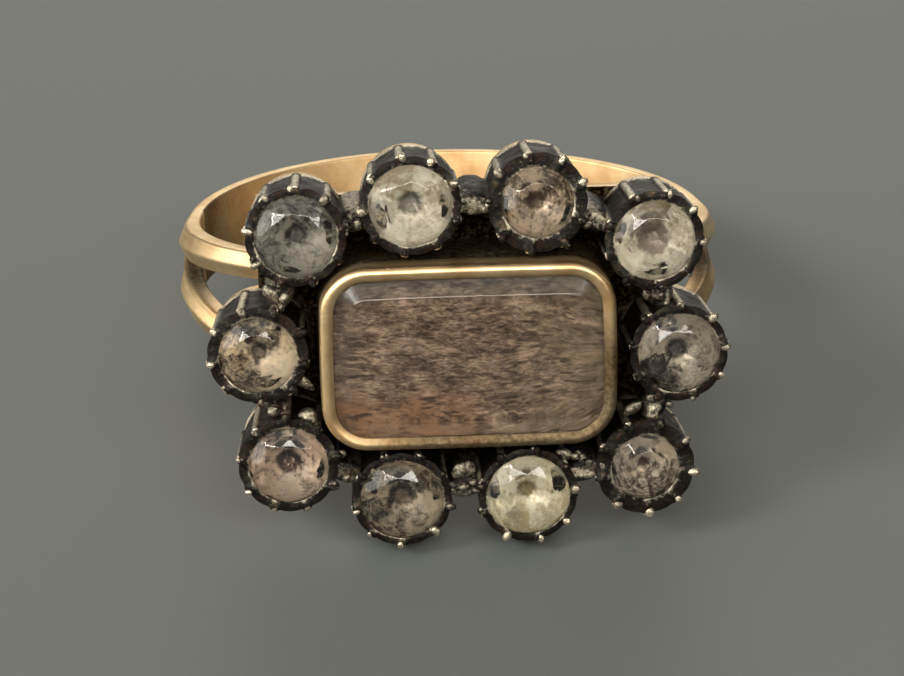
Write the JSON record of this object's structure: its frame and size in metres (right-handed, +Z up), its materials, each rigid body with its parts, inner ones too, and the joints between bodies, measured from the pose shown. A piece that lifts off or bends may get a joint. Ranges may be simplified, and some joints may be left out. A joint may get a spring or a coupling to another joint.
{
  "type": "mourning ring",
  "caption": "Gold finger ring with split shoulders, a rectangular hair locket under crystal, and a border of round foil-backed stones in fluted silver collets.",
  "frame": {"origin": "on the surface that the ring lies on, under the middle of its box", "axes": "+Z up from that surface, -Y the way the head faces, +X to the wearer's right of the head as seen from the front"},
  "size_m": [0.0188, 0.0224, 0.0134],
  "materials": {
    "gold": "worn satin gold",
    "oxidised_silver": "blackened silver, bright on the worn tips",
    "stone": "cut and polished, foil behind",
    "crystal": "clear, polished, bevelled",
    "hair": "laid brown hair"
  },
  "bodies": {
    "root": {"shank": "gold", "cluster_setting": "oxidised_silver", "locket_case": "gold", "hair_panel": "hair", "locket_crystal": "crystal", "stone_01": "stone", "stone_02": "stone", "stone_03": "stone", "stone_04": "stone", "stone_05": "stone", "stone_06": "stone", "stone_07": "stone", "stone_08": "stone", "stone_09": "stone", "stone_10": "stone"}
  },
  "joints": []
}
